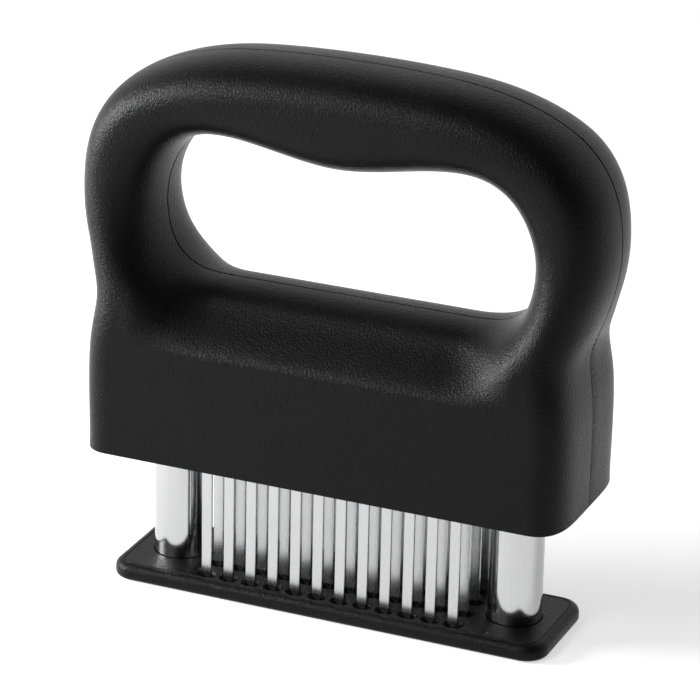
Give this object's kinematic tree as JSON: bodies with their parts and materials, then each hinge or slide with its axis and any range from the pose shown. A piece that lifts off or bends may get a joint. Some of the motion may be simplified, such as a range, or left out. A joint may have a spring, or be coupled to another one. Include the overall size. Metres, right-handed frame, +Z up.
{
  "type": "blade meat tenderizer",
  "caption": "Hand-pressed meat tenderizer: a loop handle carries rows of flat upright blades through a spring-returned guard plate on guide tubes.",
  "frame": {"origin": "centre of the guard plate's underside, where the tool rests", "axes": "+Z up through the handle, +X along the blade rows to the right, +Y to the back"},
  "size_m": [0.1502, 0.05, 0.1547],
  "materials": {
    "handle_black": "fine spark-eroded satin",
    "guard_black": "fine spark-eroded satin",
    "holder_black": "moulded satin",
    "bush_plastic": "smooth, waxy",
    "blade_steel": "ground lengthwise, bright",
    "tube_steel": "polished stainless steel",
    "spring_steel": "drawn wire",
    "screw_steel": "plain steel"
  },
  "bodies": {
    "handle": {"front_shell": "handle_black", "rear_shell": "handle_black", "blade_holder": "holder_black", "blade_clamp": "holder_black", "clamp_screws": "screw_steel", "blade_pins": "screw_steel", "blade_row_1": "blade_steel", "blade_row_2": "blade_steel", "blade_row_3": "blade_steel", "blade_row_4": "blade_steel", "left_guide_bush": "bush_plastic", "right_guide_bush": "bush_plastic", "left_spring_post": "holder_black", "right_spring_post": "holder_black", "left_return_spring": "spring_steel", "right_return_spring": "spring_steel"},
    "guard": {"guard_plate": "guard_black", "left_guide_tube": "tube_steel", "right_guide_tube": "tube_steel", "left_stop_ring": "tube_steel", "right_stop_ring": "tube_steel", "left_tube_plug": "holder_black", "right_tube_plug": "holder_black", "plate_screws": "screw_steel"}
  },
  "joints": [
    {"name": "guard_slide", "type": "slide", "parent": "handle", "child": "guard", "axis": [0, 0, 1], "range_m": [0, 0.034], "stiffness_N_per_m": 700, "springref_m": -0.012, "deforming": ["left_return_spring", "right_return_spring"]}
  ]
}
